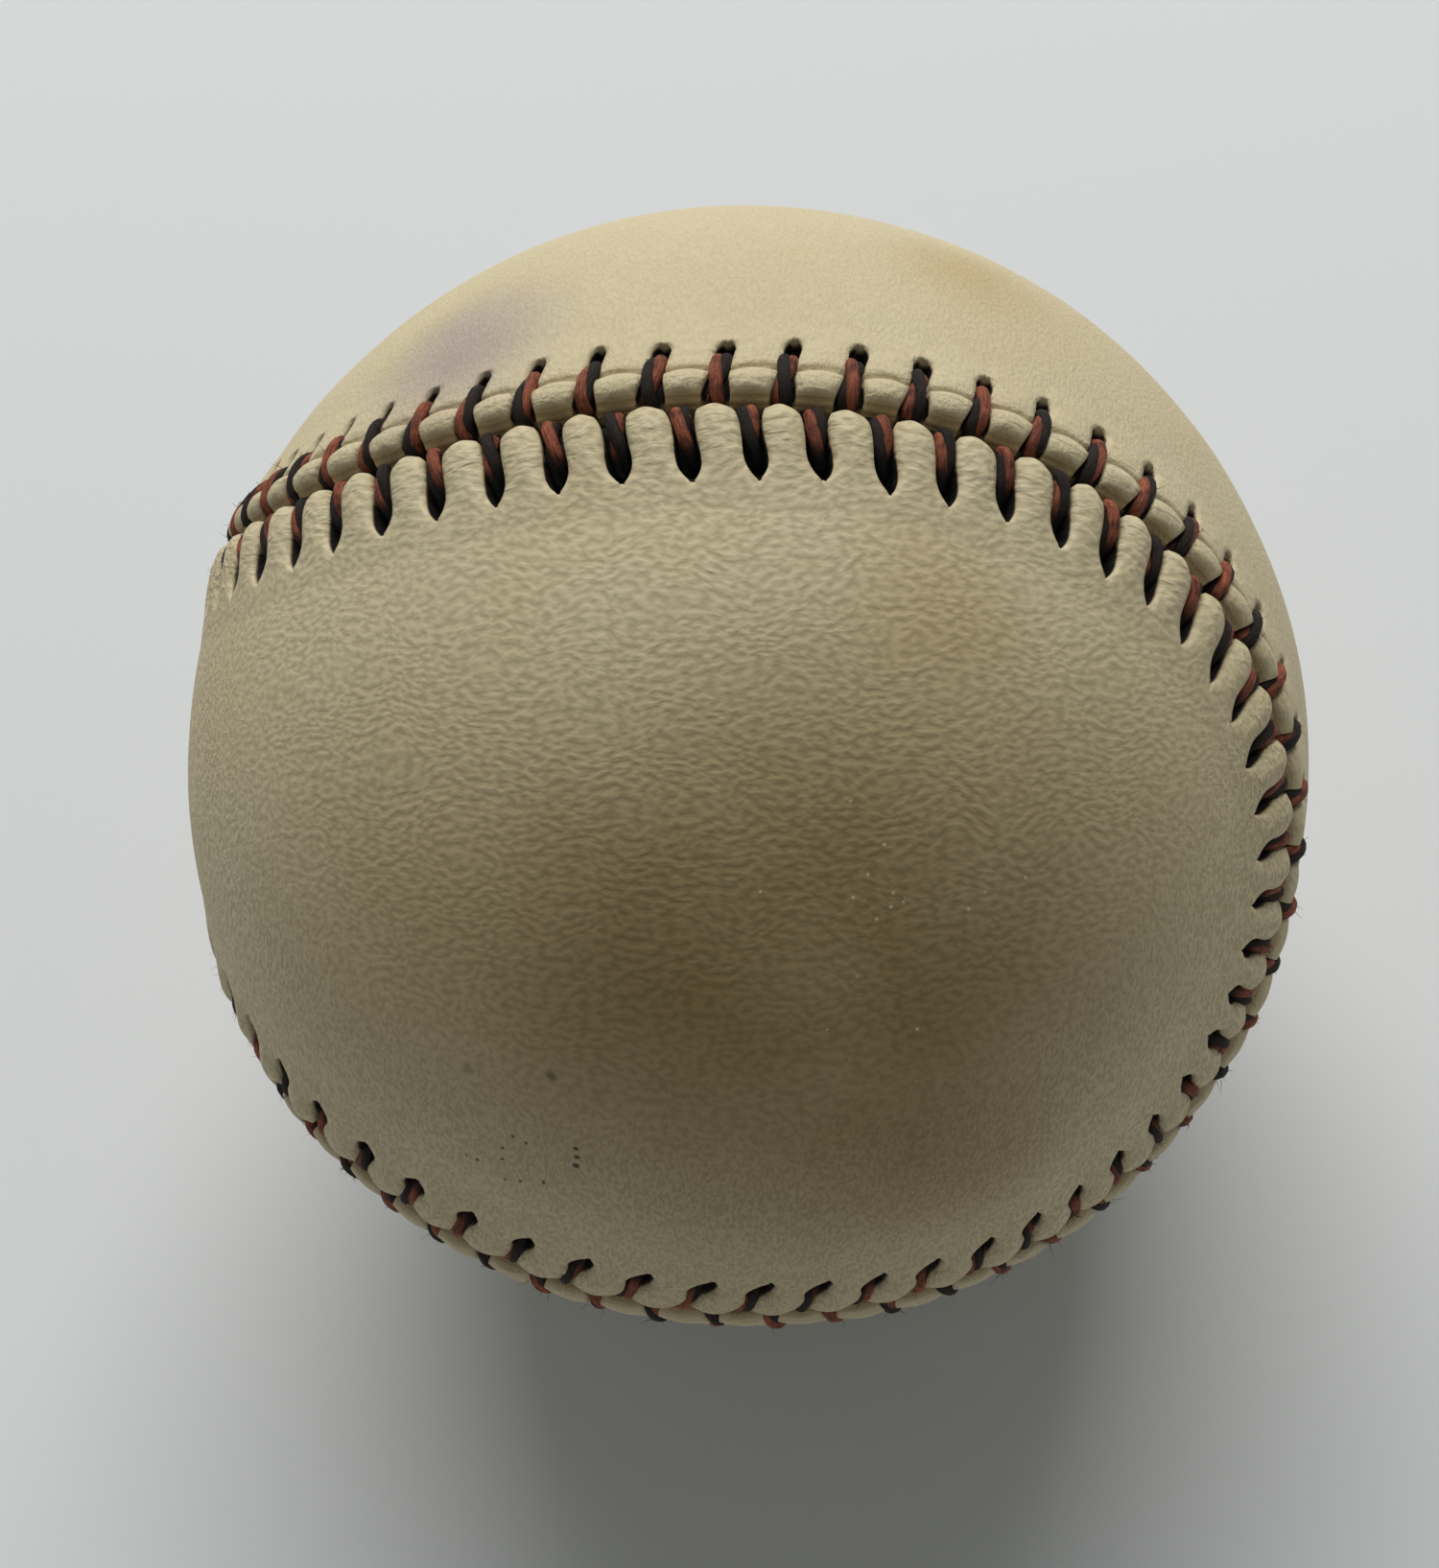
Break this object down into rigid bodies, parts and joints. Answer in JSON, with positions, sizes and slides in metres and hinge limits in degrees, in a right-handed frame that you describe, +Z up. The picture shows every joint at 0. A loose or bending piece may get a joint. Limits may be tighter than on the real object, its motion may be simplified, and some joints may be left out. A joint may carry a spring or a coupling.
{
  "type": "baseball",
  "caption": "Old leather baseball: cushioned cork pill, wool and cotton windings, and two figure-eight cover panels laced with twisted red and black thread.",
  "frame": {"origin": "centre of the ball", "axes": "+X along the seam's four-fold axis, through the middle of the back panel's waist; +Z up through one point of the seam; -Y towards the front panel's lobe"},
  "size_m": [0.0746, 0.0762, 0.0762],
  "materials": {
    "cork": "matt ground cork",
    "black_rubber": "matt moulded rubber",
    "red_rubber": "matt moulded rubber",
    "gray_wool": "wound wool yarn",
    "white_wool": "wound wool yarn",
    "white_cotton": "wound cotton yarn",
    "leather": "aged, handled, dull",
    "waxed_thread": "waxed two-ply thread, faded red and black"
  },
  "bodies": {
    "root": {"cork_core": "cork", "pill_black_shell_right": "black_rubber", "pill_black_shell_left": "black_rubber", "pill_washer": "red_rubber", "pill_red_shell_right": "red_rubber", "pill_red_shell_left": "red_rubber", "winding_first_gray_wool": "gray_wool", "winding_white_wool": "white_wool", "winding_second_gray_wool": "gray_wool", "winding_white_cotton": "white_cotton", "cover_panel_front": "leather", "cover_panel_back": "leather", "lacing_thread": "waxed_thread"}
  },
  "joints": []
}
